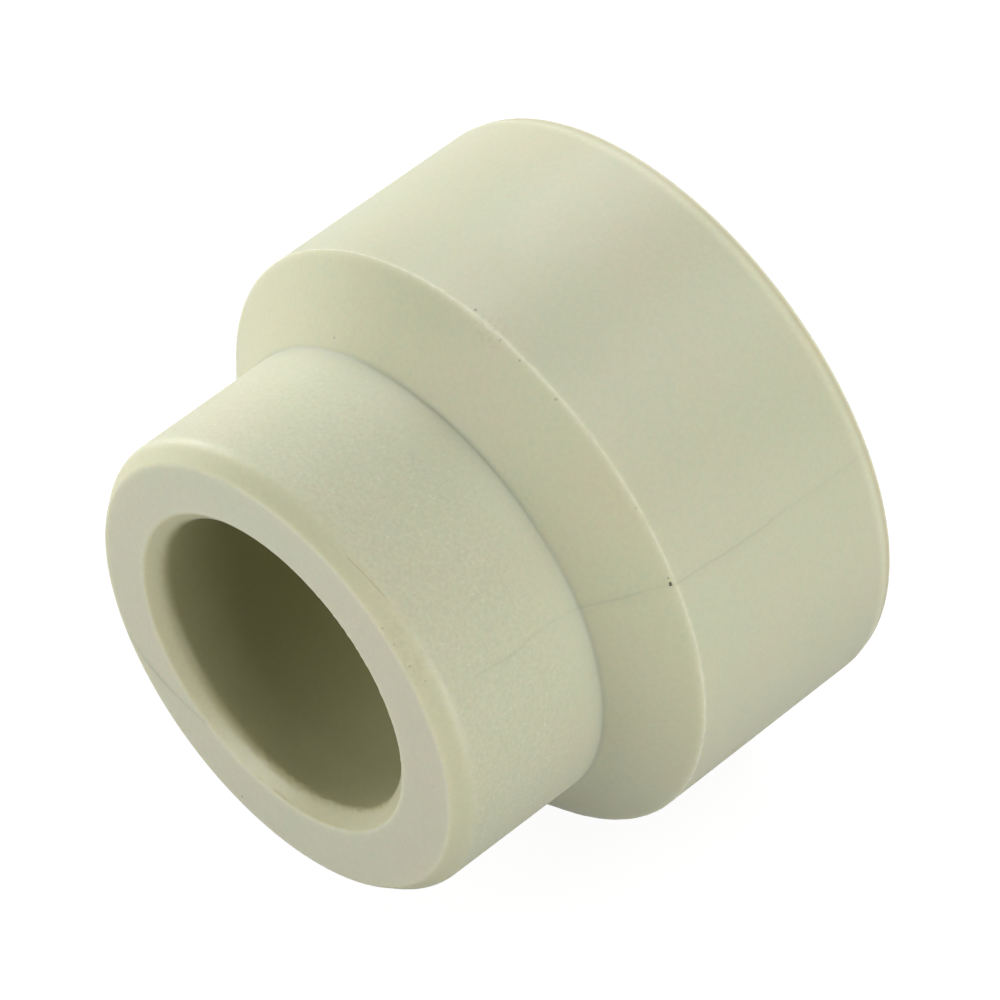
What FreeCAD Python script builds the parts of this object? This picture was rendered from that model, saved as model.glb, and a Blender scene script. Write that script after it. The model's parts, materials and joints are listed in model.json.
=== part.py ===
import FreeCAD, Part
import os

import Sketcher

# Plain socket reducer for polypropylene pipe, which joins a 25 mm pipe to a 32 mm pipe by fusion welding.
#
# The fitting is one injection moulding: a narrow barrel and a wide barrel on one axis, joined by a conical
# shoulder. Each barrel holds a welding socket, which is smaller than its pipe, tapers in from its mouth and
# ends on a stop for the pipe. A conical waterway joins the two stops.
#
# Frame: the flow axis lies along Y, as the fitting lies on its side, +Z up. The origin is the centre of the
# wide end face, and the narrow end faces -Y. Sizes are in millimetres and degrees. A place along the axis
# is its distance from the wide end face.

# alias, value, what it is
DRIVING_SIZES = [
    ("narrow_pipe_diameter", 25.0, "outside diameter of the pipe welded into the narrow end"),
    ("wide_pipe_diameter", 32.0, "outside diameter of the pipe welded into the wide end"),
    ("mouth_interference", 0.8, "pipe diameter less socket diameter, at a socket's mouth"),
    ("root_interference", 1.1, "pipe diameter less socket diameter, past a socket's taper"),
    ("socket_taper_length", 4.0, "length over which both sockets narrow, behind their lead-in"),
    ("narrow_socket_depth", 16.0, "narrow end face to the narrow pipe's stop"),
    ("wide_socket_depth", 18.1, "wide end face to the wide pipe's stop"),
    ("web_length", 4.3, "material between the two stops"),
    ("narrow_waterway_diameter", 18.0, "clear bore behind the narrow pipe's stop"),
    ("wide_waterway_diameter", 25.0, "clear bore behind the wide pipe's stop"),
    ("narrow_wall", 6.65, "wall of the narrow barrel, at its mouth"),
    ("wide_wall", 8.3, "wall of the wide barrel, at its mouth"),
    ("wide_draft_angle", 0.4, "draft of the wide barrel, which narrows towards its mouth"),
    ("shoulder_length", 4.9, "length of the cone between the barrels"),
    ("shoulder_lead", 1.35, "wide pipe's stop to the shoulder's outer edge"),
    ("narrow_chamfer_width", 1.1, "outer chamfer of the narrow end, across the face"),
    ("narrow_chamfer_length", 1.45, "outer chamfer of the narrow end, along the barrel"),
    ("wide_chamfer_width", 0.25, "outer chamfer of the wide end, across the face"),
    ("wide_chamfer_length", 1.05, "outer chamfer of the wide end, along the barrel"),
    ("lead_in_width", 1.2, "lead-in of both sockets, across the face"),
    ("lead_in_length", 1.9, "lead-in of both sockets, along the bore"),
    ("stop_corner_radius", 0.5, "rounding where a socket's wall meets its stop"),
    ("stop_edge_chamfer", 0.4, "chamfer of a stop's inner edge, where the waterway starts"),
]

# What follows from the driving sizes, as expressions. Radii:
NARROW_MOUTH = "((sizes.narrow_pipe_diameter - sizes.mouth_interference) / 2)"
NARROW_ROOT = "((sizes.narrow_pipe_diameter - sizes.root_interference) / 2)"
WIDE_MOUTH = "((sizes.wide_pipe_diameter - sizes.mouth_interference) / 2)"
WIDE_ROOT = "((sizes.wide_pipe_diameter - sizes.root_interference) / 2)"
NARROW_WATERWAY = "(sizes.narrow_waterway_diameter / 2)"
WIDE_WATERWAY = "(sizes.wide_waterway_diameter / 2)"
NARROW_OUTSIDE = f"({NARROW_MOUTH} + sizes.narrow_wall)"
WIDE_OUTSIDE = f"({WIDE_MOUTH} + sizes.wide_wall)"
# Places along the axis:
WIDE_STOP = "sizes.wide_socket_depth"
NARROW_STOP = f"({WIDE_STOP} + sizes.web_length)"
NARROW_FACE = f"({NARROW_STOP} + sizes.narrow_socket_depth)"
SHOULDER_EDGE = f"({WIDE_STOP} + sizes.shoulder_lead)"
SHOULDER_CREASE = f"({SHOULDER_EDGE} + sizes.shoulder_length)"
WIDE_FACE = "0"

SAME_PLACE = 1e-6  # two lengths closer than this are one


def drafted(place):
    """Radius of the wide barrel's outside at a place along the axis.

    The mould parts at the shoulder's outer edge, so the barrel is widest there.
    """
    return f"({WIDE_OUTSIDE} + {place} * tan(sizes.wide_draft_angle))"


def origin_part(body, role):
    return next(part for part in body.Origin.OriginFeatures if part.Role == role)


def value(body, size):
    """What an expression over the sizes comes to now."""
    return float(body.evalExpression(size))


def make_sizes(doc):
    sheet = doc.addObject("Spreadsheet::Sheet", "sizes")
    for row, (alias, value, meaning) in enumerate(DRIVING_SIZES, start=1):
        sheet.set(f"A{row}", str(value))
        sheet.setAlias(f"A{row}", alias)
        sheet.set(f"B{row}", meaning)
    doc.recompute()


def bind(sketch, constraint, size):
    """Adds a constraint and ties its value to an expression over the sizes."""
    index = sketch.addConstraint(constraint)
    sketch.setExpression(f"Constraints[{index}]", size)


def half_profile(body, name, corners):
    """A closed outline beside the axis, one straight line to the next corner.

    A corner is (radius, place along the axis), both expressions. A radius of None lies on the axis.
    """
    origin, x_axis, y_axis = (-1, 1), -1, -2
    sketch = body.newObject("Sketcher::SketchObject", name)
    sketch.AttachmentSupport = (origin_part(body, "XY_Plane"), [""])
    sketch.MapMode = "FlatFace"

    points = [
        FreeCAD.Vector(value(body, radius or "0"), -value(body, place), 0) for radius, place in corners
    ]
    lines = [Part.LineSegment(*ends) for ends in zip(points, points[1:] + points[:1])]
    sketch.addGeometry(lines, False)
    for line, (radius, place) in enumerate(corners):
        before = (line - 1) % len(corners)
        corner = (line, 1)
        sketch.addConstraint(Sketcher.Constraint("Coincident", before, 2, *corner))
        if radius is None:
            sketch.addConstraint(Sketcher.Constraint("PointOnObject", *corner, y_axis))
        else:
            across = Sketcher.Constraint("DistanceX", *origin, *corner, value(body, radius))
            bind(sketch, across, radius)
        if place == WIDE_FACE:
            sketch.addConstraint(Sketcher.Constraint("PointOnObject", *corner, x_axis))
        else:
            along = Sketcher.Constraint("DistanceY", *corner, *origin, value(body, place))
            bind(sketch, along, place)
    return sketch


def turn(body, kind, name, corners):
    """Revolves a half profile round the axis: kind is Revolution, which adds, or Groove, which cuts."""
    sketch = half_profile(body, f"{name}_profile", corners)
    feature = body.newObject(f"PartDesign::{kind}", name)
    feature.Profile = sketch
    feature.ReferenceAxis = (sketch, ["V_Axis"])
    feature.Angle = 360
    body.Document.recompute()


def ring_edge(shape, radius, place):
    """Name of the shape's circular edge with this radius, at this place along the axis."""
    for number, edge in enumerate(shape.Edges, start=1):
        if not isinstance(edge.Curve, Part.Circle):
            continue
        off = abs(edge.Curve.Radius - radius) + abs(edge.Curve.Center.y + place)
        if off < SAME_PLACE:
            return f"Edge{number}"
    raise RuntimeError(f"no circular edge of radius {radius} at {place}")


def round_stop_corners(body):
    """Rounds the corner between each socket's wall and its stop."""
    base = body.Tip
    corners = [(WIDE_ROOT, WIDE_STOP), (NARROW_ROOT, NARROW_STOP)]
    edges = [ring_edge(base.Shape, value(body, radius), value(body, place)) for radius, place in corners]
    fillet = body.newObject("PartDesign::Fillet", "stop_corners")
    fillet.Base = (base, edges)
    fillet.setExpression("Radius", "sizes.stop_corner_radius")
    body.Document.recompute()


def make_outside(body):
    """Both barrels and the shoulder between them, solid, with a chamfered rim at each end."""
    narrow_rim = f"({NARROW_OUTSIDE} - sizes.narrow_chamfer_width)"
    wide_rim = f"({drafted('sizes.wide_chamfer_length')} - sizes.wide_chamfer_width)"
    turn(body, "Revolution", "outside", [
        (None, WIDE_FACE),
        (wide_rim, WIDE_FACE),
        (drafted("sizes.wide_chamfer_length"), "sizes.wide_chamfer_length"),
        (drafted(SHOULDER_EDGE), SHOULDER_EDGE),
        (NARROW_OUTSIDE, SHOULDER_CREASE),
        (NARROW_OUTSIDE, f"({NARROW_FACE} - sizes.narrow_chamfer_length)"),
        (narrow_rim, NARROW_FACE),
        (None, NARROW_FACE),
    ])


def make_socket(body, name, mouth, root, face, stop, inwards):
    """A welding socket: lead-in, taper and parallel wall. inwards is the sign of the way in from its face."""
    lead_in_end = f"({face} {inwards} sizes.lead_in_length)"
    turn(body, "Groove", name, [
        (None, face),
        (f"({mouth} + sizes.lead_in_width)", face),
        (mouth, lead_in_end),
        (root, f"({lead_in_end} {inwards} sizes.socket_taper_length)"),
        (root, stop),
        (None, stop),
    ])


def make_waterway(body):
    """The cone through the web that joins the two stops, chamfered at both."""
    turn(body, "Groove", "waterway", [
        (None, WIDE_STOP),
        (f"({WIDE_WATERWAY} + sizes.stop_edge_chamfer)", WIDE_STOP),
        (WIDE_WATERWAY, f"({WIDE_STOP} + sizes.stop_edge_chamfer)"),
        (NARROW_WATERWAY, f"({NARROW_STOP} - sizes.stop_edge_chamfer)"),
        (f"({NARROW_WATERWAY} + sizes.stop_edge_chamfer)", NARROW_STOP),
        (None, NARROW_STOP),
    ])


def make_reducer_body(doc):
    body = doc.addObject("PartDesign::Body", "reducer_body")
    body.Label = "reducer_body"
    body.Placement = FreeCAD.Placement()
    make_outside(body)
    make_socket(body, "wide_socket", WIDE_MOUTH, WIDE_ROOT, WIDE_FACE, WIDE_STOP, "+")
    make_socket(body, "narrow_socket", NARROW_MOUTH, NARROW_ROOT, NARROW_FACE, NARROW_STOP, "-")
    make_waterway(body)
    round_stop_corners(body)
    return body


def check_document(doc, sub_parts):
    for item in doc.Objects:
        if "Invalid" in item.State or "Error" in item.State:
            raise RuntimeError(f"{item.Label} did not compute: {item.State}")
    for item in sub_parts:
        if item.Shape.isNull() or not item.Shape.isValid():
            raise RuntimeError(f"{item.Label} has no valid shape")
        if len(item.Shape.Solids) != 1:
            raise RuntimeError(f"{item.Label} is not one solid")


def check_cuts(body):
    """Every groove has to take material away: one that misses the solid shows no error by itself."""
    volumes = [feature.Shape.Volume for feature in body.Group if hasattr(feature, "Profile")]
    if not all(after < before for before, after in zip(volumes, volumes[1:])):
        raise RuntimeError("a groove cut nothing")


def main():
    doc = FreeCAD.newDocument("socket_reducer")
    make_sizes(doc)
    body = make_reducer_body(doc)
    sub_parts = [body]
    doc.recompute()
    check_document(doc, sub_parts)
    check_cuts(body)
    os.makedirs("parts", exist_ok=True)
    for item in sub_parts:
        item.Shape.exportStep(f"parts/{item.Label}.step")
        box = item.Shape.BoundBox
        print(item.Label, "volume", round(item.Shape.Volume, 1), "mm3")
        print("x", round(box.XLength, 3), "y", round(box.YLength, 3), "z", round(box.ZLength, 3))


main()
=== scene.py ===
"""Studio model of a plain socket reducer: the moulding with its mould marks, its plastic and its stage."""
import json
import math
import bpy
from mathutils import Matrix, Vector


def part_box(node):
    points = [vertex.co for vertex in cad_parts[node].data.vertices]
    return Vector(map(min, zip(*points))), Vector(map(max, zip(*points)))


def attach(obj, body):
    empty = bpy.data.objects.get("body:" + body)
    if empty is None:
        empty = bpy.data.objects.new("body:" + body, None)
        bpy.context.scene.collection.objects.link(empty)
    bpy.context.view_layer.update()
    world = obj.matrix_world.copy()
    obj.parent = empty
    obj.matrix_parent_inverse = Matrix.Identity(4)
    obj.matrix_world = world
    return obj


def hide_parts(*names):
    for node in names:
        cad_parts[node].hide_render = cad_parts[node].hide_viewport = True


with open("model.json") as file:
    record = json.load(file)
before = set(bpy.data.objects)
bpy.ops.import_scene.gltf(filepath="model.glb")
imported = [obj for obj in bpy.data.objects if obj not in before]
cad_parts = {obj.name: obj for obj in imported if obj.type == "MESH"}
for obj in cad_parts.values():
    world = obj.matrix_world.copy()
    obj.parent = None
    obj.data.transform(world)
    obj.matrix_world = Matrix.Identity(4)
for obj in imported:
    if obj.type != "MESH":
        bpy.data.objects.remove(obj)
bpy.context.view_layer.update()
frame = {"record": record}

from types import SimpleNamespace

import bmesh
import bpy
from bpy.props import FloatProperty, FloatVectorProperty, IntProperty, PointerProperty
from mathutils import Vector

bl_info = {
    "name": "Socket Reducer",
    "version": (1, 0, 0),
    "blender": (4, 5, 0),
    "location": "3D View > Sidebar > Reducer",
    "description": "Builds a polypropylene socket reducer round its packed frame",
    "category": "Mesh",
}

NODE = "reducer_body"
MOULDING = "reducer_moulding"
LOW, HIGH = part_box(NODE)
MOUNTS = {mount["name"]: mount for mount in frame["record"]["mounts"]}
MM = 0.001

# Attributes of the moulding's mesh, which its tree and its material read. EDGE_LIGHT is painted light:
# above 0 it is a painted highlight on corners that stand out, as far as light would pass through them, and
# below
# 0 painted shade in corners that sink in. FLASH says how far torn plastic stands outwards, as a share of
# the flash's height: it is 1 where the mould's halves met and below 0 at the narrow socket's mouth. CORE
# is 1 on the narrow socket.
EDGE_LIGHT = "edge"
FLASH = "flash"
CORE = "core"

# Marks on the outside, as the real moulding has them: (angle from +X towards +Z in degrees, place from the
# wide end face in mm, size in mm, strength).
BURNT_SPOTS = [
    (29.45, 19.74, 0.15, 0.90),
    (29.75, 19.72, 0.14, 0.90),
    (30.75, 19.72, 0.10, 0.80),
    (44.4, 19.6, 0.13, 0.20),
    (67.1, 19.7, 0.13, 0.30),
    (76.2, 19.7, 0.15, 0.40),
    (81.2, 19.6, 0.14, 0.30),
    (40.5, 12.0, 0.11, 0.25),
    (25.4, 2.8, 0.11, 0.30),
    (4.5, 8.4, 0.15, 0.30),
    (52.0, 38.2, 0.09, 0.35),
    (47.5, 38.15, 0.08, 0.30),
    (41.5, 38.0, 0.10, 0.35),
    (37.0, 37.6, 0.09, 0.30),
]
STAINS = [
    (84, 19.5, 1.8, 0.12),
    (50, 37.6, 1.6, 0.07),
    (41, 37.7, 1.8, 0.10),
    (4, 8.3, 1.2, 0.06),
    (-3, 8.0, 1.0, 0.06),
]


# ---------------------------------------------------------------- sizes that a user may change


def length(name, description, default):
    return FloatProperty(
        name=name, description=description, default=default, subtype="DISTANCE", unit="LENGTH", precision=5
    )


def angle(name, description, degrees):
    return FloatProperty(
        name=name, description=description, default=math.radians(degrees), subtype="ANGLE", unit="ROTATION"
    )


def colour(name, description, default):
    return FloatVectorProperty(
        name=name, description=description, default=default, size=3, subtype="COLOR", min=0, max=1
    )


def share(name, description, default):
    return FloatProperty(name=name, description=description, default=default, min=0, max=1)


def power(name, description, default):
    return FloatProperty(name=name, description=description, default=default, min=0, unit="POWER")


def socket_radius(mount):
    return MOUNTS[mount]["dims"]["r_mm"] * MM


class MouldingSizes(bpy.types.PropertyGroup):
    """The fitting's own form. A place is a distance from the wide end face, along the axis."""

    overall: length("Overall Length", "Wide end face to narrow end face", HIGH.y - LOW.y)
    edge_radius: length("Edge Radius", "Outside radius at the shoulder's edge, flash included", HIGH.x)
    narrow_radius: length("Narrow Radius", "Outside radius of the narrow barrel", 18.75 * MM)
    draft: angle("Draft", "Angle by which the wide barrel narrows towards its rim", 0.4)
    shoulder_edge: length("Shoulder Edge", "Place of the shoulder's outer edge", 19.45 * MM)
    shoulder_length: length("Shoulder Length", "Length of the cone between the barrels", 4.9 * MM)
    narrow_chamfer_width: length("Narrow Chamfer Width", "Narrow rim's chamfer, across the face", 1.1 * MM)
    narrow_chamfer_length: length("Narrow Chamfer Length", "Narrow rim's chamfer, lengthwise", 1.45 * MM)
    wide_chamfer_width: length("Wide Chamfer Width", "Wide rim's chamfer, across the face", 0.25 * MM)
    wide_chamfer_length: length("Wide Chamfer Length", "Wide rim's chamfer, lengthwise", 1.05 * MM)
    narrow_socket: length("Narrow Socket", "Radius of its parallel wall", socket_radius("narrow_socket"))
    wide_socket: length("Wide Socket", "Radius of its parallel wall", socket_radius("wide_socket"))
    narrow_depth: length("Narrow Depth", "Depth of the narrow socket", 16.0 * MM)
    wide_depth: length("Wide Depth", "Depth of the wide socket", 18.1 * MM)
    taper: length("Taper", "How much a socket's radius grows towards its mouth", 0.15 * MM)
    taper_length: length("Taper Length", "Length of a socket's tapered part", 4 * MM)
    lead_in_width: length("Lead-in Width", "Lead-in of both sockets, across the face", 1.2 * MM)
    lead_in_length: length("Lead-in Length", "Lead-in of both sockets, along the bore", 1.1 * MM)
    narrow_waterway: length("Narrow Waterway", "Clear radius at the narrow stop", 9 * MM)
    wide_waterway: length("Wide Waterway", "Clear radius at the wide stop", 12.5 * MM)
    stop_chamfer: length("Stop Chamfer", "Chamfer of a stop's inner edge", 0.4 * MM)
    segments: IntProperty(name="Segments", description="Faces round the axis", default=640, min=48)


class MouldMarks(bpy.types.PropertyGroup):
    """Rounded edges, flash and weld lines. Angles round the axis run from +X towards +Z."""

    rim_round: length("Rim Round", "Rounding of the wide rim's outer edge", 0.3 * MM)
    barrel_round: length("Barrel Round", "Rounding between the narrow barrel and its chamfer", 1.3 * MM)
    face_round: length("Face Round", "Rounding of the edges of both end faces", 0.5 * MM)
    mouth_round: length("Mouth Round", "Rounding of both sockets' mouths", 0.7 * MM)
    lead_in_round: length("Lead-in Round", "Rounding between a lead-in and its taper", 1.4 * MM)
    taper_round: length("Taper Round", "Rounding between a socket's taper and its parallel wall", 4.0 * MM)
    inner_round: length("Inner Round", "Rounding of the corners inside", 0.5 * MM)
    stop_round: length("Stop Round", "Rounding of the stops' chamfers", 0.12 * MM)
    crease_round: length("Crease Round", "Rounding of the crease at the shoulder's foot", 0.3 * MM)
    core_shift: length("Core Shift", "How far the narrow socket lies off the axis", 0.38 * MM)
    core_angle: angle("Core Angle", "Which way the narrow socket lies off the axis", 163)
    flash_width: length("Flash Width", "Width of the flash at the shoulder's edge", 0.14 * MM)
    flash_height: length("Flash Height", "Most that the flash stands proud", 0.05 * MM)
    burr_count: IntProperty(name="Burrs", description="Torn slivers left on the flash", default=60, min=0)
    burr_length: length("Burr Length", "Length of the longest sliver", 0.2 * MM)
    seed: IntProperty(name="Seed", description="Seed of the slivers", default=7)
    weld_angle: angle("Weld Angle", "Where the first weld line crosses the shoulder's edge", 29.4)
    weld_lean: angle("Weld Lean", "How far a weld line turns along the whole fitting", 5.5)
    weld_skew: angle("Weld Skew", "How far the second weld line is from opposite the first", -5)
    weld_curl: angle("Weld Curl", "Turn of a weld line per millimetre inwards on the narrow face", 7)
    weld_end: length("Weld End", "Place where the first weld line has died out", 36.5 * MM)
    weld_width: length("Weld Width", "Width of a weld line, which doubles on the narrow face", 0.17 * MM)


class PlasticLook(bpy.types.PropertyGroup):
    """Colours and shares of the plastic's finish."""

    base: colour("Base", "Pale grey-green of the moulding", (0.552, 0.560, 0.396))
    green: colour("Green Mottle", "Cooler cast of the mottle", (0.505, 0.575, 0.405))
    warm: colour("Warm Mottle", "Warmer cast of the mottle", (0.612, 0.545, 0.408))
    # Partly the cone's own yellower cast and partly painted light: it is paler than the base to make up
    # for light the cone lacks.
    shoulder: colour("Shoulder", "Yellower cast of the cone between the barrels", (0.600, 0.602, 0.412))
    end_face: colour("End Face", "Greyer cast of the end faces", (0.575, 0.572, 0.440))
    rim: colour("Rim", "Yellower cast of the narrow rim's chamfer", (0.600, 0.590, 0.390))
    # Painted highlight along the shoulder's outer edge; the same colour is the wide rim's painted
    # highlight band.
    ridge_highlight: colour("Ridge", "Paler band of the shoulder along its outer edge", (0.660, 0.660, 0.490))
    # Painted highlight on corners that stand out, on the flash's slivers and at the wide rim's outer edge.
    edge_highlight: colour("Cream Edge", "Thin edges that light passes through", (0.740, 0.725, 0.570))
    tan: colour("Rim Tan Line", "Tan line round the wide rim", (0.540, 0.480, 0.310))
    lead_in: colour("Lead-in", "Yellower cast of the bores' mouths", (0.560, 0.545, 0.355))
    # Painted shade laid in the bores away from their mouths; the grain's pits take the same colour.
    socket: colour("Socket", "Darker cast of the bores, away from their mouths", (0.430, 0.420, 0.225))
    # Also the colour of the painted shade in sunken corners and on the narrow barrel by the crease.
    weld: colour("Weld Line", "Darker green of a weld line", (0.300, 0.340, 0.240))
    # Painted highlight: the glints of the grain's flat spots.
    glint: colour("Glint", "Flat spots of the grain", (0.850, 0.850, 0.760))
    rust: colour("Rust", "Brown dirt in a scratch", (0.300, 0.180, 0.080))
    burnt: colour("Burnt Mark", "Scorched plastic and grit", (0.045, 0.040, 0.018))
    mottle_share: share("Mottle", "Strength of the mottle", 0.35)
    grain: length("Grain", "Size of the spark-eroded grain", 0.21 * MM)


class StageSettings(bpy.types.PropertyGroup):
    """Camera and lamps."""

    azimuth: angle("Azimuth", "Camera's heading, from along +Y towards along -X", 45.39)
    elevation: angle("Elevation", "Camera's height above the horizon", 47.85)
    distance: length("Distance", "Camera to the point that it looks at", 595.7 * MM)
    lens: FloatProperty(name="Lens", description="Focal length", default=298.8, subtype="DISTANCE_CAMERA")
    aim_back: length("Aim Back", "Aim point, from the wide end face along the axis", 16.24 * MM)
    aim_right: length("Aim Right", "Aim point, beside the axis", 0.23 * MM)
    aim_up: length("Aim Up", "Aim point, above the axis", 1.72 * MM)
    front_lamp: power("Front Lamp", "Power of the lamp at the front, to the left", 0.485)
    right_lamp: power("Right Lamp", "Power of the lamp at the right", 0.442)
    left_lamp: power("Left Lamp", "Power of the lamp at the left", 0.435)
    back_lamp: power("Back Lamp", "Power of the lamp above the back, to the left", 0.390)
    top_lamp: power("Top Lamp", "Power of the lamp high up at the right", 0.256)
    lamp_reach: length("Lamp Reach", "From the object's middle to each lamp", 258 * MM)
    lamp_size: length("Lamp Size", "Diameter of each lamp's soft panel", 180 * MM)
    paper: share("Paper", "Share of its light that the floor throws back at the object", 0.30)


# ---------------------------------------------------------------- node trees


class Wiring:
    """Adds nodes to one tree. What it returns are sockets, so that one step feeds the next."""

    def __init__(self, tree):
        self.tree = tree

    def add(self, kind, inputs=None, **settings):
        node = self.tree.nodes.new(kind)
        for name, setting in settings.items():
            setattr(node, name, setting)
        for key, source in (inputs or {}).items():
            self.feed(node.inputs[key], source)
        return node

    def feed(self, socket, source):
        if isinstance(source, bpy.types.NodeSocket):
            self.tree.links.new(source, socket)
        else:
            socket.default_value = source

    def math(self, operation, *values):
        return self.add("ShaderNodeMath", dict(enumerate(values)), operation=operation).outputs[0]

    def times(self, first, *others):
        """The product of all of them."""
        for other in others:
            first = self.math("MULTIPLY", first, other)
        return first

    def summed(self, start, *terms):
        """A start value plus each (value, factor) pair's product."""
        for value, factor in terms:
            start = self.math("MULTIPLY_ADD", value, factor, start)
        return start

    def rest(self, mask):
        """1 where a mask is 0, and 0 where it is 1."""
        return self.math("SUBTRACT", 1, mask)

    def vector(self, operation, *values):
        node = self.add("ShaderNodeVectorMath", dict(enumerate(values)), operation=operation)
        return node.outputs["Value" if operation in {"LENGTH", "DISTANCE", "DOT_PRODUCT"} else "Vector"]

    def scaled(self, vector, factor):
        inputs = {"Vector": vector, "Scale": factor}
        return self.add("ShaderNodeVectorMath", inputs, operation="SCALE").outputs["Vector"]

    def fade(self, value, full, gone):
        """1 at full, 0 at gone, and smooth in between."""
        inputs = {"Value": value, "From Min": gone, "From Max": full}
        return self.add("ShaderNodeMapRange", inputs, interpolation_type="SMOOTHSTEP").outputs["Result"]

    def near(self, value, centre, full, gone):
        """1 up to full away from the centre, on both sides of it, and 0 beyond gone."""
        return self.fade(self.math("ABSOLUTE", self.math("SUBTRACT", value, centre)), full, gone)

    def noise(self, vector, size, detail=2.0, roughness=0.5):
        """Noise from 0 to 1 whose lumps are about size across."""
        inputs = {"Vector": vector, "Scale": 1 / size, "Detail": detail, "Roughness": roughness}
        return self.add("ShaderNodeTexNoise", inputs).outputs["Fac"]

    def ripple(self, vector, size, detail=1.0, roughness=0.5):
        """The same noise about 0, from -0.5 to 0.5."""
        return self.math("SUBTRACT", self.noise(vector, size, detail, roughness), 0.5)

    def blend(self, amount, first, second):
        node = self.add("ShaderNodeMix", data_type="RGBA")
        self.feed(node.inputs[0], amount)
        for socket, source in ((node.inputs[6], first), (node.inputs[7], second)):
            self.feed(socket, source if isinstance(source, bpy.types.NodeSocket) else (*source, 1.0))
        return node.outputs[2]

    def layers(self, tone, *casts):
        """Lays casts over a tone, the lowest first: (mask, share, colour)."""
        for mask, share_of_cast, cast in casts:
            tone = self.blend(self.math("MULTIPLY", mask, share_of_cast), tone, cast)
        return tone


def new_group(name, inputs, outputs):
    """An empty shader group whose sockets are {name: type}."""
    group = bpy.data.node_groups.new(name, "ShaderNodeTree")
    for in_out, sockets in (("INPUT", inputs), ("OUTPUT", outputs)):
        for label, kind in sockets.items():
            group.interface.new_socket(label, in_out=in_out, socket_type=f"NodeSocket{kind}")
    wiring = Wiring(group)
    given = wiring.add("NodeGroupInput").outputs
    result = wiring.add("NodeGroupOutput").inputs
    return group, wiring, given, result


def fitting_coordinates_group():
    """Coordinates of a fitting whose axis is Y: place along it, radius, and angle from +X towards +Z."""
    outputs = {"Place": "Float", "Radius": "Float", "Angle": "Float"}
    group, w, given, result = new_group("Fitting Coordinates", {"Vector": "Vector"}, outputs)
    split = w.add("ShaderNodeSeparateXYZ", {"Vector": given["Vector"]}).outputs
    across = w.add("ShaderNodeCombineXYZ", {"X": split["X"], "Z": split["Z"]}).outputs[0]
    w.feed(result["Place"], w.times(split["Y"], -1))
    w.feed(result["Radius"], w.vector("LENGTH", across))
    w.feed(result["Angle"], w.math("ARCTAN2", split["Z"], split["X"]))
    return group


def weld_line_group():
    """Two fine lines along the fitting, on opposite sides, where the melt fronts met in the mould."""
    inputs = {"Vector": "Vector", "Radius": "Float", "Angle": "Float", "Width": "Float"}
    group, w, given, result = new_group("Weld Lines", inputs, {"Mask": "Float", "Core": "Float"})
    beside = w.times(w.math("SINE", given["Angle"]), given["Radius"])
    drift = w.ripple(given["Vector"], 8 * MM)
    waver = w.ripple(given["Vector"], 1 * MM)
    distance = w.math("ABSOLUTE", w.summed(beside, (drift, 1.4 * MM), (waver, 0.12 * MM)))
    core = w.fade(distance, full=0, gone=given["Width"])
    halo = w.fade(distance, full=0, gone=w.times(given["Width"], 5))
    patchy = w.fade(drift, full=0.10, gone=-0.14)
    w.feed(result["Mask"], w.times(w.summed(0, (core, 0.75), (halo, 0.25)), w.summed(0.4, (patchy, 0.6))))
    w.feed(result["Core"], core)
    return group


def spark_grain_group():
    """Grain of a spark-eroded mould: fine pits, and small flat spots, whose glints the plastic paints as
    highlights.
    """
    inputs = {"Vector": "Vector", "Size": "Float"}
    group, w, given, result = new_group("Spark Grain", inputs, {"Height": "Float", "Glint": "Float"})
    grains = w.scaled(given["Vector"], w.math("DIVIDE", 1, given["Size"]))
    cells = w.add("ShaderNodeTexVoronoi", {"Vector": grains, "Scale": 0.75}).outputs
    chosen = w.add("ShaderNodeSeparateColor", {"Color": cells["Color"]}).outputs["Red"]
    flat = w.fade(cells["Distance"], full=0.05, gone=0.50)
    w.feed(result["Height"], w.noise(grains, 1 / 0.9, detail=1))
    w.feed(result["Glint"], w.times(w.fade(chosen, full=1.0, gone=0.86), flat))
    return group


def mottle_group():
    """Slow change of cast over the plastic, -1 to 1: broad patches with finer ones in them."""
    group, w, given, result = new_group("Mottle", {"Vector": "Vector"}, {"Cast": "Float"})
    broad = w.ripple(given["Vector"], 7 * MM)
    fine = w.ripple(given["Vector"], 0.5 * MM, detail=3, roughness=0.6)
    w.feed(result["Cast"], w.summed(0, (broad, 2.4), (fine, 4.8)))
    return group


def speck_group():
    """Scattered small specks: one in some of the cells of a lattice."""
    inputs = {"Vector": "Vector", "Spacing": "Float", "Size": "Float", "Share": "Float"}
    group, w, given, result = new_group("Specks", inputs, {"Mask": "Float"})
    lattice = w.scaled(given["Vector"], w.math("DIVIDE", 1, given["Spacing"]))
    cells = w.add("ShaderNodeTexVoronoi", {"Vector": lattice, "Scale": 1}).outputs
    chance = w.add("ShaderNodeSeparateColor", {"Color": cells["Color"]}).outputs
    reach = w.times(w.math("DIVIDE", given["Size"], given["Spacing"]), chance["Green"])
    spot = w.fade(cells["Distance"], full=w.times(reach, 0.5), gone=reach)
    w.feed(result["Mask"], w.times(spot, w.math("LESS_THAN", chance["Red"], given["Share"])))
    return group


def spot_group():
    """One spot at a point of the surface. A ragged vector makes its rim ragged."""
    inputs = {"Vector": "Vector", "Centre": "Vector", "Size": "Float"}
    group, w, given, result = new_group("Spot", inputs, {"Mask": "Float"})
    distance = w.vector("DISTANCE", given["Vector"], given["Centre"])
    w.feed(result["Mask"], w.fade(distance, full=w.times(given["Size"], 0.45), gone=given["Size"]))
    return group


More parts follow.
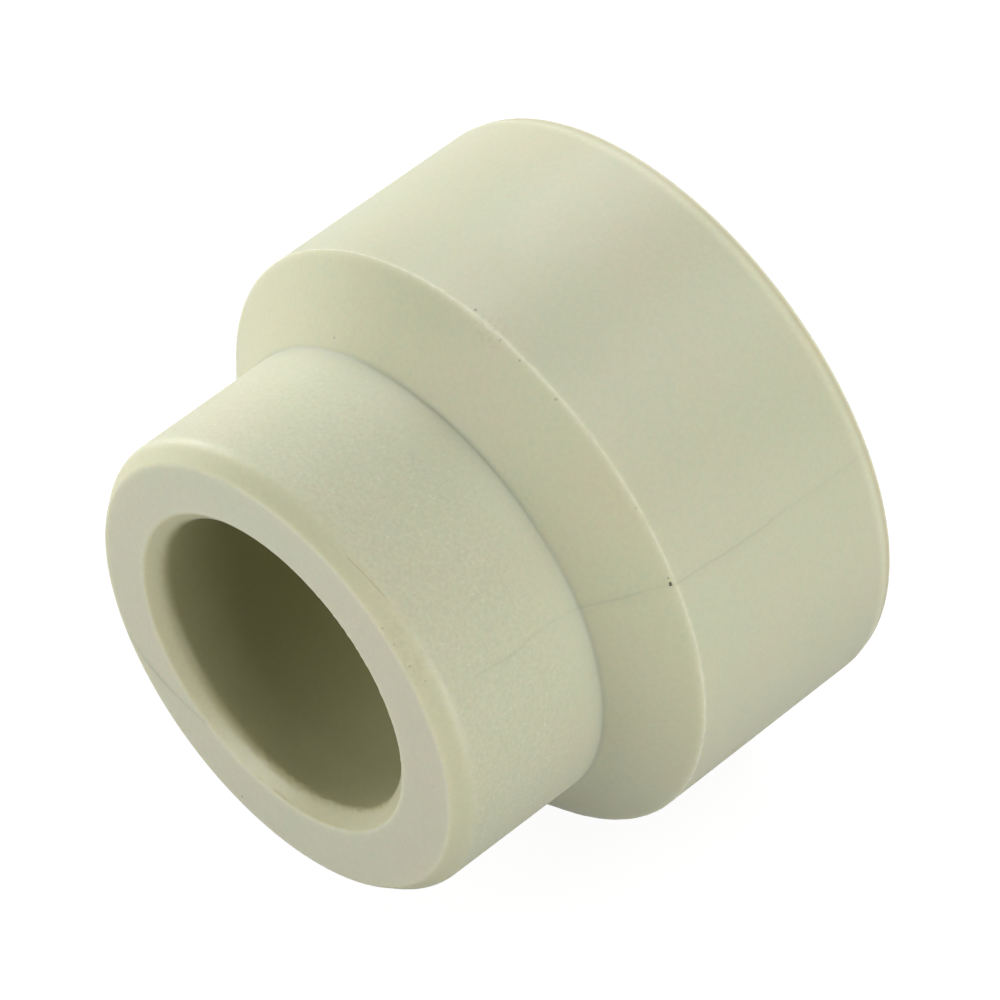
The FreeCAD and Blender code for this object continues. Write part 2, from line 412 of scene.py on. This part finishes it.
def hair_scratch_group():
    """One hair scratch round the fitting, between two angles, that drifts along the axis as it goes."""
    names = ("Place", "Angle", "Start", "End", "At", "Drift")
    group, w, given, result = new_group("Hair Scratch", dict.fromkeys(names, "Float"), {"Mask": "Float"})
    run = {"Value": given["Angle"], "From Min": given["Start"], "From Max": given["End"]}
    along = w.add("ShaderNodeMapRange", run, clamp=False).outputs["Result"]
    centre = w.summed(given["At"], (along, given["Drift"]))
    ends = w.times(w.fade(along, full=0.15, gone=0), w.fade(along, full=0.7, gone=1))
    line = w.near(given["Place"], centre, full=0.015 * MM, gone=0.06 * MM)
    w.feed(result["Mask"], w.times(ends, line))
    return group


# ---------------------------------------------------------------- the plastic

# How the plastic bends light, and how far in red, green and blue light scatter.
OPTICS = {
    "IOR": 1.49,
    "Subsurface Weight": 0.7,
    "Subsurface Radius": (1.0, 0.92, 0.55),
    "Subsurface Scale": 1.7 * MM,
}


def place_group(w, group, **inputs):
    """Puts a group into a material. The inputs are named in lower case."""
    node = w.add("ShaderNodeGroup", node_tree=group)
    for name, source in inputs.items():
        w.feed(node.inputs[name.title()], source)
    return node.outputs


def outside_point(sizes, degrees, place):
    """Point on the outside at an angle from +X towards +Z and a place along the axis, draft left out."""
    up_shoulder = (place - sizes.shoulder_edge) / sizes.shoulder_length
    up_chamfer = 1 - (sizes.overall - place) / sizes.narrow_chamfer_length
    radius = sizes.edge_radius
    radius -= (sizes.edge_radius - sizes.narrow_radius) * min(1, max(0, up_shoulder))
    radius -= sizes.narrow_chamfer_width * max(0, up_chamfer)
    turned = math.radians(degrees)
    return Vector((radius * math.cos(turned), -place, radius * math.sin(turned)))


def finish_zones(w, at, sizes):
    """Masks of the finishes and of the painted highlights and shade, by name. Each is 1 on its own stretch
    of the surface.
    """
    place = at["Place"]
    crease = sizes.shoulder_edge + sizes.shoulder_length
    chamfer = sizes.overall - sizes.narrow_chamfer_length
    widest_mouth = sizes.wide_socket + sizes.taper + sizes.lead_in_width
    outer = w.fade(at["Radius"], full=widest_mouth + 0.6 * MM, gone=widest_mouth + 0.2 * MM)
    narrow_face = w.fade(place, full=sizes.overall - 0.02 * MM, gone=sizes.overall - 0.12 * MM)
    wide_face = w.fade(place, full=0.02 * MM, gone=0.12 * MM)
    face = w.math("MAXIMUM", narrow_face, wide_face)
    side = w.times(outer, w.rest(face))
    inside = w.rest(w.math("MAXIMUM", outer, face))
    from_mouth = w.math("MINIMUM", place, w.math("SUBTRACT", sizes.overall, place))
    # Painted light: the grain, its pits and its painted glints are a third weaker from the top round to
    # -X, where the sheen washes them out.
    sheen_side = w.fade(at["Angle"], full=math.radians(120), gone=math.radians(65))
    return SimpleNamespace(
        outer=outer,
        narrow_face=narrow_face,
        face=face,
        side=side,
        inside=inside,
        lead_in=w.times(inside, w.fade(from_mouth, full=1.1 * MM, gone=2.0 * MM)),
        # Painted shade in the bores, from 0.4 to 1.8 mm in from a mouth on.
        bore_shade=w.times(inside, w.fade(from_mouth, full=1.8 * MM, gone=0.4 * MM)),
        grained=w.times(
            side,
            w.fade(place, full=crease + 5 * MM, gone=crease + 0.4 * MM),
            w.fade(place, full=chamfer - 0.5 * MM, gone=chamfer),
            w.summed(1, (sheen_side, -0.35)),
        ),
        shoulder=w.times(
            side,
            w.fade(place, full=sizes.shoulder_edge + 0.5 * MM, gone=sizes.shoulder_edge),
            w.fade(place, full=crease - 0.3 * MM, gone=crease),
        ),
        # Painted highlight on the cone along the shoulder's outer edge.
        ridge_highlight=w.times(
            side,
            w.math("GREATER_THAN", place, sizes.shoulder_edge),
            w.near(place, sizes.shoulder_edge, full=0.05 * MM, gone=0.55 * MM),
        ),
        # Painted shade on the narrow barrel's foot, darkest at the crease and gone 1.4 mm along.
        crease_shade=w.times(
            side,
            w.math("GREATER_THAN", place, crease),
            w.near(place, crease, full=0, gone=1.4 * MM),
        ),
        narrow_rim=w.times(side, w.fade(place, full=chamfer + 0.4 * MM, gone=chamfer - 0.3 * MM)),
        # Painted highlight: a thin pale line at the wide rim's outer edge.
        lip=w.times(side, w.fade(place, full=0.3 * MM, gone=0.4 * MM)),
        # A darker tan line round the wide rim's chamfer.
        rim_tan_line=w.times(side, w.near(place, 0.5 * MM, full=0.08 * MM, gone=0.20 * MM)),
        # Painted highlight round the wide rim, where its chamfer starts.
        band=w.times(side, w.near(place, sizes.wide_chamfer_length, full=0.15 * MM, gone=0.60 * MM)),
    )


def weld_lines(w, vector, at, zone, sizes, marks):
    """Both weld lines: how strongly they show, and their cores, where the surface dips.

    Both lean, and curl on the narrow face. The first dies out before it gets there.
    """
    straight = w.math("SUBTRACT", at["Angle"], marks.weld_angle)
    from_edge = w.math("SUBTRACT", at["Place"], sizes.shoulder_edge)
    inward = w.math("SUBTRACT", sizes.narrow_radius - sizes.narrow_chamfer_width, at["Radius"])
    inward = w.times(zone.narrow_face, w.math("MAXIMUM", inward, 0))
    second = w.math("LESS_THAN", w.math("COSINE", straight), 0)
    turned = w.summed(
        straight,
        (from_edge, -marks.weld_lean / sizes.overall),
        (inward, -marks.weld_curl / MM),
        (second, -marks.weld_skew),
    )
    width = w.times(marks.weld_width, w.summed(1, (zone.narrow_face, 1)))
    line = place_group(w, weld_line_group(), vector=vector, radius=at["Radius"], angle=turned, width=width)
    first = w.math("GREATER_THAN", w.math("COSINE", turned), 0)
    lost = w.times(first, w.fade(at["Place"], full=marks.weld_end, gone=marks.weld_end - 4 * MM))
    on_face = w.summed(1, (zone.narrow_face, 2))
    seen = w.times(line["Mask"], w.summed(1, (zone.inside, -0.8)), w.rest(lost), on_face)
    return seen, line["Core"]


def strongest_spot(w, vector, group, sizes, spots):
    """The strongest at each point of some spots on the outside."""
    strongest = 0.0
    for degrees, place, size, strength in spots:
        centre = outside_point(sizes, degrees, place * MM)
        mask = place_group(w, group, vector=vector, centre=centre, size=size * MM)["Mask"]
        strongest = w.math("MAXIMUM", strongest, w.times(mask, strength))
    return strongest


def spots_and_stains(w, vector, zone, sizes):
    """Burnt spots and faint stains at their places, both with ragged rims."""
    shake = w.add("ShaderNodeTexNoise", {"Vector": vector, "Scale": 1 / (0.2 * MM), "Detail": 1})
    centred = w.vector("SUBTRACT", shake.outputs["Color"], (0.5, 0.5, 0.5))
    ragged = w.vector("ADD", vector, w.scaled(centred, 0.2 * MM))
    group = spot_group()
    patches = w.fade(w.noise(vector, 0.45 * MM, detail=3, roughness=0.65), full=0.62, gone=0.45)
    burnt = strongest_spot(w, ragged, group, sizes, BURNT_SPOTS)
    stained = w.times(strongest_spot(w, ragged, group, sizes, STAINS), patches, zone.side)
    return burnt, stained


def hair_scratch(w, at, zone, sizes):
    """The scratch beside the narrow rim. It starts at 70 degrees and ends at 54."""
    beside_rim = sizes.overall - sizes.narrow_chamfer_length + 0.4 * MM
    mask = place_group(
        w, hair_scratch_group(), place=at["Place"], angle=at["Angle"], start=math.radians(70),
        end=math.radians(54), at=beside_rim, drift=-0.35 * MM,
    )["Mask"]
    return w.times(mask, zone.outer)


def polypropylene(sizes, marks, look):
    """Pale moulded plastic: mottle, grained barrel, greyer faces, weld lines, marks, painted light and
    shade.
    """
    material = bpy.data.materials.new("pale_polypropylene")
    material.use_nodes = True
    w = Wiring(material.node_tree)
    shader = material.node_tree.nodes["Principled BSDF"]
    vector = w.add("ShaderNodeTexCoord").outputs["Object"]
    at = place_group(w, fitting_coordinates_group(), vector=vector)
    zone = finish_zones(w, at, sizes)

    # Painted light of the corners: a patchy painted highlight where a corner stands out, painted shade
    # where it sinks in.
    corner = w.add("ShaderNodeAttribute", attribute_name=EDGE_LIGHT).outputs["Fac"]
    patchy = w.fade(w.noise(vector, 0.7 * MM), full=0.56, gone=0.42)
    edge = w.times(w.math("MAXIMUM", corner, 0), w.summed(0.55, (patchy, 0.45)))
    # Painted shade in corners that sink in: the crease and the sockets' inner corners.
    hollow_shade = w.math("MAXIMUM", w.times(corner, -1), 0)
    cast = place_group(w, mottle_group(), vector=vector)["Cast"]
    warm = w.math("MAXIMUM", cast, 0)
    green = w.math("MAXIMUM", w.times(cast, -1), 0)
    grain = place_group(w, spark_grain_group(), vector=vector, size=look.grain)
    pitted = w.times(w.fade(grain["Height"], full=0.34, gone=0.52), zone.grained)
    glint = w.times(grain["Glint"], zone.grained)
    specks = speck_group()
    grit = place_group(w, specks, vector=vector, spacing=4.7 * MM, size=0.19 * MM, share=0.22)["Mask"]
    dust = place_group(w, specks, vector=vector, spacing=1.6 * MM, size=0.10 * MM, share=0.18)["Mask"]
    weld, weld_core = weld_lines(w, vector, at, zone, sizes, marks)
    burnt, stained = spots_and_stains(w, vector, zone, sizes)
    scratch = hair_scratch(w, at, zone, sizes)

    tone = w.layers(
        look.base,
        # the cone's yellower cast, partly painted light
        (zone.shoulder, 0.80, look.shoulder),
        (zone.face, 0.90, look.end_face),
        (warm, look.mottle_share, look.warm),
        (green, look.mottle_share, look.green),
        (zone.narrow_rim, 0.45, look.rim),
        # painted highlight along the shoulder's outer edge
        (zone.ridge_highlight, 0.60, look.ridge_highlight),
        # painted highlight band round the wide rim
        (zone.band, 0.40, look.ridge_highlight),
        (zone.rim_tan_line, 0.55, look.tan),
        # painted highlight at the wide rim's outer edge
        (zone.lip, 0.55, look.edge_highlight),
        # painted highlight on corners that stand out
        (edge, 0.75, look.edge_highlight),
        (zone.lead_in, 0.80, look.lead_in),
        # painted shade in the bores
        (zone.bore_shade, 0.80, look.socket),
        # painted shade in corners that sink in
        (hollow_shade, 0.20, look.weld),
        # painted shade on the narrow barrel by the crease
        (zone.crease_shade, 0.14, look.weld),
        (weld, 0.28, look.weld),
        (pitted, 0.11, look.socket),
        # painted glints of the grain
        (glint, 0.30, look.glint),
        (dust, 0.20, look.burnt),
        (grit, 0.40, look.burnt),
    )
    cloudy = w.summed(0.10, (zone.grained, 0.10))
    tone = w.scaled(tone, w.summed(1, (w.ripple(vector, 0.33 * MM), cloudy)))
    dirt = w.math("MAXIMUM", w.times(scratch, 0.28), stained)
    w.feed(shader.inputs["Base Color"], w.layers(tone, (dirt, 1, look.rust), (burnt, 1, look.burnt)))

    rub = w.fade(w.noise(vector, 6 * MM, detail=3, roughness=0.6), full=0.66, gone=0.42)
    roughness = w.summed(
        0.45,
        (w.math("MAXIMUM", zone.grained, zone.narrow_rim), 0.12),
        (zone.face, 0.10),
        (rub, 0.06),
        (glint, -0.20),
        (burnt, 0.20),
        (zone.inside, -0.06),
    )
    w.feed(shader.inputs["Roughness"], roughness)

    peel = w.times(w.noise(vector, 0.8 * MM, detail=1), w.rest(zone.bore_shade))
    relief = w.summed(
        0,
        (peel, 0.004 * MM),
        (w.times(grain["Height"], zone.grained), 0.008 * MM),
        (w.times(weld_core, zone.outer), -0.003 * MM),
        (scratch, -0.010 * MM),
    )
    bump = w.add("ShaderNodeBump", {"Height": relief, "Distance": 1.0, "Strength": 1.0})
    w.feed(shader.inputs["Normal"], bump.outputs["Normal"])

    for name, setting in OPTICS.items():
        w.feed(shader.inputs[name], setting)
    return material


# ---------------------------------------------------------------- the moulding


def outline(sizes, marks):
    """Corners of the half section, wide face first: (radius, place, rounding, edge, flash, core)."""
    s, m = sizes, marks
    edge_radius = s.edge_radius - m.flash_height
    wide_radius = edge_radius - (s.shoulder_edge - s.wide_chamfer_length) * math.tan(s.draft)
    wide_stop = s.wide_depth
    narrow_stop = s.overall - s.narrow_depth
    narrow_mouth = s.narrow_socket + s.taper
    wide_mouth = s.wide_socket + s.taper
    # The edge column is painted light: above 0 a highlight on a corner that stands out, below 0 shade in
    # one that sinks in.
    return [
        (wide_radius - s.wide_chamfer_width, 0, m.face_round, 0.4, 0, 0),
        (wide_radius, s.wide_chamfer_length, m.rim_round, 0.7, 0, 0),
        (edge_radius, s.shoulder_edge, m.flash_width, 1, 1, 0),
        (s.narrow_radius, s.shoulder_edge + s.shoulder_length, m.crease_round, -1, 0, 0),
        (s.narrow_radius, s.overall - s.narrow_chamfer_length, m.barrel_round, 0.25, 0, 0),
        (s.narrow_radius - s.narrow_chamfer_width, s.overall, m.face_round, 0.15, 0, 0),
        (narrow_mouth + s.lead_in_width, s.overall, m.mouth_round, 0.15, -2, 1),
        (narrow_mouth, s.overall - s.lead_in_length, m.lead_in_round, 0, -2, 1),
        (s.narrow_socket, s.overall - s.lead_in_length - s.taper_length, m.taper_round, 0, 0, 1),
        (s.narrow_socket, narrow_stop, m.inner_round, -0.5, 0, 1),
        (s.narrow_waterway + s.stop_chamfer, narrow_stop, m.stop_round, 0.4, 0, 0),
        (s.narrow_waterway, narrow_stop - s.stop_chamfer, m.stop_round, 0.4, 0, 0),
        (s.wide_waterway, wide_stop + s.stop_chamfer, m.stop_round, 0.4, 0, 0),
        (s.wide_waterway + s.stop_chamfer, wide_stop, m.stop_round, 0.4, 0, 0),
        (s.wide_socket, wide_stop, m.inner_round, -0.5, 0, 0),
        (s.wide_socket, s.lead_in_length + s.taper_length, m.taper_round, 0, 0, 0),
        (wide_mouth, s.lead_in_length, m.lead_in_round, 0, 0, 0),
        (wide_mouth + s.lead_in_width, 0, m.mouth_round, 0.2, 0, 0),
    ]


def rounded(corners, finest_step=math.radians(12), guard=0.25 * MM, edge_at_ends=0.4):
    """The outline with an arc at each corner: (radius, place, edge, flash, core) for each point.

    In the middle of an arc, edge and flash have the corner's own values. At its ends, edge has a share of
    its value and flash is 0. Smooth shading stays within an arc, because each run beside one has a guard
    point close to it.
    """
    points = []
    for before, corner, after in zip(corners[-1:] + corners[:-1], corners, corners[1:] + corners[:1]):
        radius, place, rounding, edge, flash, core = corner
        here = Vector((radius, place))
        back = (Vector(before[:2]) - here).normalized()
        ahead = (Vector(after[:2]) - here).normalized()
        half = back.angle(ahead) / 2
        reach = rounding / math.tan(half)
        centre = here + (back + ahead).normalized() * (rounding / math.sin(half))
        first = here + back * reach - centre
        turn = (math.pi - 2 * half) * math.copysign(1, back.cross(ahead))
        steps = max(2, math.ceil(abs(turn) / finest_step)) * (2 if flash else 1)
        points.append((*(here + back * (reach + guard)), 0, 0, core))
        for step in range(steps + 1):
            along = step / steps
            cosine, sine = math.cos(-turn * along), math.sin(-turn * along)
            arm = Vector((first.x * cosine - first.y * sine, first.x * sine + first.y * cosine))
            bulge = math.sin(math.pi * along)
            # Painted light of the corner, strongest in the middle of its arc.
            paler = edge * (edge_at_ends + (1 - edge_at_ends) * bulge)
            points.append((*(centre + arm), paler, flash * bulge, core))
        points.append((*(here + ahead * (reach + guard)), 0, 0, core))
    return points


def section_object(points, path_radius):
    """The half section as a loop of edges in the XY plane. X counts outwards from the lathe's path."""
    mesh = bpy.data.meshes.new("half_section")
    vertices = [(radius - path_radius, place, 0) for radius, place, *_ in points]
    edges = [(index, (index + 1) % len(points)) for index in range(len(points))]
    mesh.from_pydata(vertices, edges, [])
    for name, column in ((EDGE_LIGHT, 2), (FLASH, 3), (CORE, 4)):
        attribute = mesh.attributes.new(name, "FLOAT", "POINT")
        attribute.data.foreach_set("value", [point[column] for point in points])
    section = bpy.data.objects.new(MOULDING, mesh)
    bpy.context.collection.objects.link(section)
    return section


TREE_INPUTS = {
    "Path Radius": "Float",
    "Segments": "Int",
    "Flash Height": "Float",
    "Burr Radius": "Float",
    "Burr Place": "Float",
    "Burrs": "Int",
    "Burr Length": "Float",
    "Core Shift": "Vector",
    "Seed": "Int",
    "Plastic": "Material",
}


def scatter_slivers(w, given):
    """Torn slivers on a ring round the Y axis, turned and scaled at random, with the painted highlight of
    edges.
    """

    def random(low, high, salt, kind="FLOAT"):
        seed = w.math("ADD", given["Seed"], salt)
        node = w.add("FunctionNodeRandomValue", {"Seed": seed}, data_type=kind)
        enabled = [socket for socket in node.inputs if socket.enabled]
        enabled[0].default_value, enabled[1].default_value = low, high
        return next(socket for socket in node.outputs if socket.enabled)

    around = random(0, 2 * math.pi, 0)
    spot = w.add("ShaderNodeCombineXYZ", {
        "X": w.times(w.math("COSINE", around), given["Burr Radius"]),
        "Y": w.times(given["Burr Place"], -1),
        "Z": w.times(w.math("SINE", around), given["Burr Radius"]),
    }).outputs[0]
    points = w.add("GeometryNodePoints", {"Count": given["Burrs"], "Position": spot}).outputs[0]
    thickness = w.times(given["Burr Length"], 0.22)
    sliver = w.add("GeometryNodeMeshCone", {
        "Vertices": 5,
        "Radius Top": 0,
        "Radius Bottom": thickness,
        "Depth": given["Burr Length"],
    }).outputs["Mesh"]
    any_way = random((-math.pi,) * 3, (math.pi,) * 3, 1, "FLOAT_VECTOR")
    small_to_full = random((0.25,) * 3, (1.0,) * 3, 2, "FLOAT_VECTOR")
    scattered = w.add("GeometryNodeInstanceOnPoints", {
        "Points": points,
        "Instance": sliver,
        "Rotation": any_way,
        "Scale": small_to_full,
    }).outputs["Instances"]
    slivers = w.add("GeometryNodeRealizeInstances", {"Geometry": scattered}).outputs["Geometry"]
    # The slivers get a corner's full painted highlight.
    pale = {"Geometry": slivers, "Name": EDGE_LIGHT, "Value": 1.0}
    return w.add("GeometryNodeStoreNamedAttribute", pale, data_type="FLOAT").outputs["Geometry"]


def moulding_tree():
    """Turns a half section round the Y axis, tears its flash and moves its core off the axis.

    The flash at the shoulder's edge is torn all round and gets slivers. The lip of the narrow socket is
    torn on the side that the core moves away from.
    """
    tree = bpy.data.node_groups.new("Turned Moulding", "GeometryNodeTree")
    tree.interface.new_socket("Geometry", in_out="INPUT", socket_type="NodeSocketGeometry")
    for name, kind in TREE_INPUTS.items():
        tree.interface.new_socket(name, in_out="INPUT", socket_type=f"NodeSocket{kind}")
    tree.interface.new_socket("Geometry", in_out="OUTPUT", socket_type="NodeSocketGeometry")
    w = Wiring(tree)
    given = w.add("NodeGroupInput").outputs

    section = w.add("GeometryNodeMeshToCurve", {"Mesh": given["Geometry"]}).outputs["Curve"]
    circle = {"Resolution": given["Segments"], "Radius": given["Path Radius"]}
    ring = w.add("GeometryNodeCurvePrimitiveCircle", circle).outputs["Curve"]
    upright = w.add("GeometryNodeSetCurveNormal", {"Curve": ring}, mode="Z_UP").outputs["Curve"]
    swept = w.add("GeometryNodeCurveToMesh", {"Curve": upright, "Profile Curve": section}).outputs["Mesh"]
    laid = {"Geometry": swept, "Rotation": (-math.pi / 2, 0, 0)}
    turned = w.add("GeometryNodeTransform", laid).outputs["Geometry"]

    flash, core = (
        w.add("GeometryNodeInputNamedAttribute", {"Name": name}, data_type="FLOAT").outputs["Attribute"]
        for name in (FLASH, CORE)
    )
    position = w.add("GeometryNodeInputPosition").outputs["Position"]
    outwards = w.vector("NORMALIZE", w.vector("MULTIPLY", position, (1, 0, 1)))
    ragged = w.fade(w.noise(position, 0.5 * MM, detail=3, roughness=0.7), full=0.72, gone=0.38)
    stands = w.summed(0.2, (ragged, 0.8))
    towards_shift = w.vector("DOT_PRODUCT", outwards, w.vector("NORMALIZE", given["Core Shift"]))
    clean_lip = w.times(core, w.fade(towards_shift, full=0.2, gone=-0.2))
    proud = w.times(flash, w.rest(clean_lip), stands, given["Flash Height"])
    torn = {"Geometry": turned, "Offset": w.scaled(outwards, proud)}
    torn = w.add("GeometryNodeSetPosition", torn).outputs["Geometry"]
    shifted = {"Geometry": torn, "Offset": w.scaled(given["Core Shift"], core)}
    shifted = w.add("GeometryNodeSetPosition", shifted).outputs["Geometry"]

    joined = w.add("GeometryNodeJoinGeometry")
    for geometry in (scatter_slivers(w, given), shifted):
        tree.links.new(geometry, joined.inputs["Geometry"])
    smooth = w.add("GeometryNodeSetShadeSmooth", {"Geometry": joined.outputs["Geometry"]})
    whole = w.add("GeometryNodeRealizeInstances", {"Geometry": smooth.outputs["Geometry"]})
    coat = {"Geometry": whole.outputs["Geometry"], "Material": given["Plastic"]}
    coated = w.add("GeometryNodeSetMaterial", coat)
    w.add("NodeGroupOutput", {"Geometry": coated.outputs["Geometry"]})
    return tree


def bake(thing, tree, values):
    """Runs a geometry tree on an object with these inputs and keeps the result as its plain mesh."""
    modifier = thing.modifiers.new(tree.name, "NODES")
    modifier.node_group = tree
    for item in tree.interface.items_tree:
        if item.in_out == "INPUT" and item.name in values:
            modifier[item.identifier] = values[item.name]
    depsgraph = bpy.context.evaluated_depsgraph_get()
    mesh = bpy.data.meshes.new_from_object(thing.evaluated_get(depsgraph), depsgraph=depsgraph)
    thing.modifiers.remove(modifier)
    thing.data = mesh
    # the first slot is the section's own and empty
    mesh.materials.pop(index=0)
    return mesh


def face_outwards(mesh):
    """Turns every face's normal out of the solid."""
    shape = bmesh.new()
    shape.from_mesh(mesh)
    bmesh.ops.recalc_face_normals(shape, faces=shape.faces)
    shape.to_mesh(mesh)
    shape.free()


class REDUCER_OT_moulding(bpy.types.Operator):
    """Turn the moulding, with its flash and slivers, and give it its plastic"""

    bl_idname = "reducer.moulding"
    bl_label = "Mould the Reducer"

    def execute(self, context):
        scene = context.scene
        sizes, marks, look = scene.reducer_sizes, scene.reducer_marks, scene.reducer_look
        section = section_object(rounded(outline(sizes, marks)), path_radius=sizes.narrow_radius)
        shift, way = marks.core_shift, marks.core_angle
        mesh = bake(section, moulding_tree(), {
            "Path Radius": sizes.narrow_radius,
            "Segments": sizes.segments,
            "Flash Height": marks.flash_height,
            "Burr Radius": sizes.edge_radius - marks.flash_height - marks.flash_width / 4,
            "Burr Place": sizes.shoulder_edge,
            "Burrs": marks.burr_count,
            "Burr Length": marks.burr_length,
            "Core Shift": (shift * math.cos(way), 0, shift * math.sin(way)),
            "Seed": marks.seed,
            "Plastic": polypropylene(sizes, marks, look),
        })
        mesh.name = MOULDING
        face_outwards(mesh)
        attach(section, "root")
        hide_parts(NODE)
        return {"FINISHED"}


# ---------------------------------------------------------------- the stage

# Half of the floor's side, in metres: it runs on past the edge of every view.
FLOOR_HALF = 3.0

# For the camera, the floor's own glow and the light that it scatters add up to white where nothing shades
# it. Farther off, where no lamp shines, the glow alone is white.
FLOOR_GLOW = 0.91
LIT_FLOOR = 80 * MM
UNLIT_FLOOR = 160 * MM
FLOOR_SHADOW = 0.15
FLOOR_REFLECTED = 0.3

# Where each lamp stands, in degrees: heading from +X towards +Y, and height above the horizon.
LAMPS = {
    "front_lamp": (256, 13),
    "right_lamp": (359, 13),
    "left_lamp": (177, 13),
    "back_lamp": (130, 38),
    "top_lamp": (52, 54),
}


def white_world():
    """White for the camera. It sheds no light of its own: the lamps do that."""
    world = bpy.data.worlds.new("studio")
    world.use_nodes = True
    world.node_tree.nodes.clear()
    w = Wiring(world.node_tree)
    seen = w.add("ShaderNodeLightPath").outputs["Is Camera Ray"]
    background = w.add("ShaderNodeBackground", {"Color": (1, 1, 1, 1), "Strength": seen})
    w.add("ShaderNodeOutputWorld", {"Surface": background.outputs["Background"]})
    bpy.context.scene.world = world


def floor_paper(paper):
    """Paper that looks white but for a faint shadow, and throws less light back at the object."""
    material = bpy.data.materials.new("studio_paper")
    material.use_nodes = True
    material.node_tree.nodes.clear()
    w = Wiring(material.node_tree)
    rays = w.add("ShaderNodeLightPath").outputs
    shade = w.blend(rays["Is Camera Ray"], (paper,) * 3, (FLOOR_SHADOW,) * 3)
    matt = w.add("ShaderNodeBsdfDiffuse", {"Color": shade}).outputs["BSDF"]
    from_middle = w.vector("LENGTH", w.add("ShaderNodeTexCoord").outputs["Object"])
    lit = w.fade(from_middle, full=LIT_FLOOR, gone=UNLIT_FLOOR)
    seen = w.times(rays["Is Camera Ray"], w.summed(1, (lit, FLOOR_GLOW - 1)))
    reflected = w.times(rays["Is Glossy Ray"], FLOOR_REFLECTED)
    glow = {"Color": (1, 1, 1, 1), "Strength": w.math("MAXIMUM", seen, reflected)}
    light = w.add("ShaderNodeEmission", glow).outputs["Emission"]
    both = w.add("ShaderNodeAddShader", {0: matt, 1: light}).outputs["Shader"]
    w.add("ShaderNodeOutputMaterial", {"Surface": both})
    return material


def lay_floor(stage):
    """A flat floor that touches the object's lowest point."""
    mesh = bpy.data.meshes.new("studio_floor")
    corners = [(-1, -1), (1, -1), (1, 1), (-1, 1)]
    mesh.from_pydata([(x * FLOOR_HALF, y * FLOOR_HALF, LOW.z) for x, y in corners], [], [(0, 1, 2, 3)])
    mesh.materials.append(floor_paper(stage.paper))
    floor = bpy.data.objects.new("studio_floor", mesh)
    bpy.context.collection.objects.link(floor)


def hang_lamps(stage):
    """Round soft panels that look at the object's middle. The camera doesn't see them."""
    for name, (heading, height) in LAMPS.items():
        panel = bpy.data.lights.new(name, "AREA")
        panel.shape = "DISK"
        panel.size = stage.lamp_size
        panel.energy = getattr(stage, name)
        across, up = math.radians(heading), math.radians(height)
        towards = Vector((math.cos(across) * math.cos(up), math.sin(across) * math.cos(up), math.sin(up)))
        lamp = bpy.data.objects.new(name, panel)
        lamp.location = (LOW + HIGH) / 2 + towards * stage.lamp_reach
        lamp.rotation_euler = (-towards).to_track_quat("-Z", "Y").to_euler()
        lamp.visible_camera = False
        bpy.context.collection.objects.link(lamp)


def set_camera(stage):
    """A camera far off, with a long lens, that looks down at the fitting."""
    aim = Vector((stage.aim_right, HIGH.y - stage.aim_back, stage.aim_up))
    level = math.cos(stage.elevation)
    heading = Vector((
        -math.sin(stage.azimuth) * level, math.cos(stage.azimuth) * level, -math.sin(stage.elevation)
    ))
    lens = bpy.data.cameras.new("camera")
    lens.lens = stage.lens
    lens.clip_start = 10 * MM
    camera = bpy.data.objects.new("camera", lens)
    camera.location = aim - heading * stage.distance
    camera.rotation_euler = heading.to_track_quat("-Z", "Y").to_euler()
    bpy.context.collection.objects.link(camera)
    bpy.context.scene.camera = camera


class REDUCER_OT_stage(bpy.types.Operator):
    """Lay the floor, hang the lamps and set up the camera"""

    bl_idname = "reducer.stage"
    bl_label = "Set the Stage"

    def execute(self, context):
        stage = context.scene.reducer_stage
        lay_floor(stage)
        white_world()
        hang_lamps(stage)
        set_camera(stage)
        context.scene.view_settings.view_transform = "Standard"
        return {"FINISHED"}


# ---------------------------------------------------------------- the panel


class REDUCER_PT_panel(bpy.types.Panel):
    """Lists the steps and their sizes in the sidebar"""

    bl_idname = "REDUCER_PT_panel"
    bl_label = "Socket Reducer"
    bl_space_type = "VIEW_3D"
    bl_region_type = "UI"
    bl_category = "Reducer"

    def draw(self, context):
        layout = self.layout
        for title, owner, operators in PANEL_ROWS:
            box = layout.box()
            box.label(text=title)
            settings = getattr(context.scene, owner)
            for name in settings.__annotations__:
                box.prop(settings, name)
            for operator in operators:
                box.operator(operator)


PANEL_ROWS = [
    ("Form", "reducer_sizes", []),
    ("Mould Marks", "reducer_marks", []),
    ("Plastic", "reducer_look", ["reducer.moulding"]),
    ("Stage", "reducer_stage", ["reducer.stage"]),
]
SETTINGS = {
    "reducer_sizes": MouldingSizes,
    "reducer_marks": MouldMarks,
    "reducer_look": PlasticLook,
    "reducer_stage": StageSettings,
}
CLASSES = [*SETTINGS.values(), REDUCER_OT_moulding, REDUCER_OT_stage, REDUCER_PT_panel]


def register():
    for item in CLASSES:
        bpy.utils.register_class(item)
    for name, group in SETTINGS.items():
        setattr(bpy.types.Scene, name, PointerProperty(type=group))


def unregister():
    for name in SETTINGS:
        delattr(bpy.types.Scene, name)
    for item in reversed(CLASSES):
        bpy.utils.unregister_class(item)


def main():
    register()
    bpy.ops.reducer.moulding()
    bpy.ops.reducer.stage()


if __name__ == "__main__":
    main()
